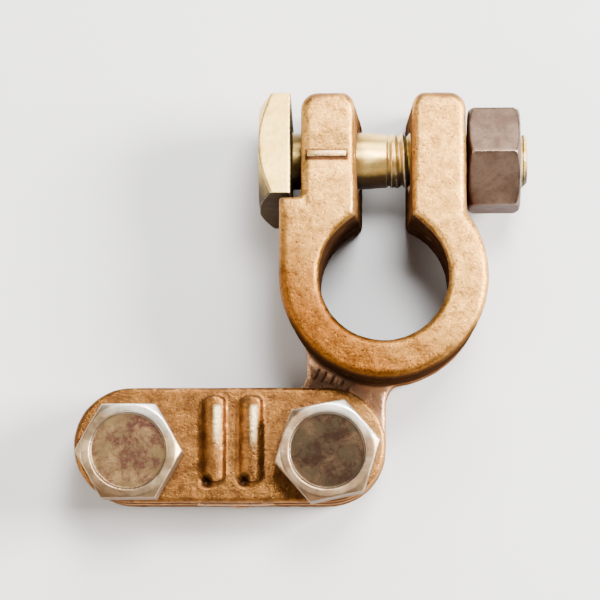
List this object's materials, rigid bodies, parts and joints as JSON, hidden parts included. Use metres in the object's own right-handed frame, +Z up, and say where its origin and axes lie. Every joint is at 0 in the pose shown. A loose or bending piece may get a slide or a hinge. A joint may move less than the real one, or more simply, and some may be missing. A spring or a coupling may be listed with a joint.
{
  "type": "battery terminal clamp",
  "caption": "Cast brass battery terminal clamp: a split ring closed by a cross bolt and nut through its ears, with an offset bar and a bolted strap that holds the cable.",
  "frame": {"origin": "centre of the post bore, midway between the ring's two end faces", "axes": "+Z up the battery post, +X along the clamp bolt from its square head to its nut, +Y from the bore towards the split ears"},
  "size_m": [0.0636, 0.0573, 0.018],
  "materials": {
    "cast_brass": "sand-cast, lightly tarnished",
    "yellow_zinc_steel": "yellow-passivated zinc",
    "dark_zinc_steel": "tarnished zinc",
    "clear_zinc_steel": "clear zinc with brown patina"
  },
  "bodies": {
    "casting": {"clamp_casting": "cast_brass"},
    "strap": {"cable_strap": "cast_brass"},
    "bolt": {"clamp_bolt": "yellow_zinc_steel"},
    "nut": {"clamp_nut": "dark_zinc_steel"},
    "left_bolt": {"saddle_bolt_left": "clear_zinc_steel"},
    "right_bolt": {"saddle_bolt_right": "clear_zinc_steel"}
  },
  "joints": [
    {"name": "nut_turn", "type": "hinge", "parent": "casting", "child": "nut", "pos_m": [0.0155, 0.0174, 0], "axis": [1, 0, 0], "range_deg": [-400, 2160]},
    {"name": "clamp_bolt_slide", "type": "slide", "parent": "casting", "child": "bolt", "axis": [-1, 0, 0], "range_m": [-0.0014, 0.0076]},
    {"name": "strap_lift", "type": "slide", "parent": "casting", "child": "strap", "axis": [0, 0, 1], "range_m": [0, 0.0051]},
    {"name": "left_bolt_turn", "type": "hinge", "parent": "strap", "child": "left_bolt", "pos_m": [-0.03535, -0.02405, 0.0012], "axis": [0, 0, 1], "range_deg": [0, 1440]},
    {"name": "right_bolt_turn", "type": "hinge", "parent": "strap", "child": "right_bolt", "pos_m": [-0.00785, -0.02405, 0.0012], "axis": [0, 0, 1], "range_deg": [0, 1440]}
  ],
  "couplings": [
    {"joint": "clamp_bolt_slide", "follows": "nut_turn", "m_per_rad": 0.00019894},
    {"joint": "strap_lift", "follows": "left_bolt_turn", "m_per_rad": 0.00019894},
    {"joint": "right_bolt_turn", "follows": "left_bolt_turn", "ratio": 1}
  ]
}
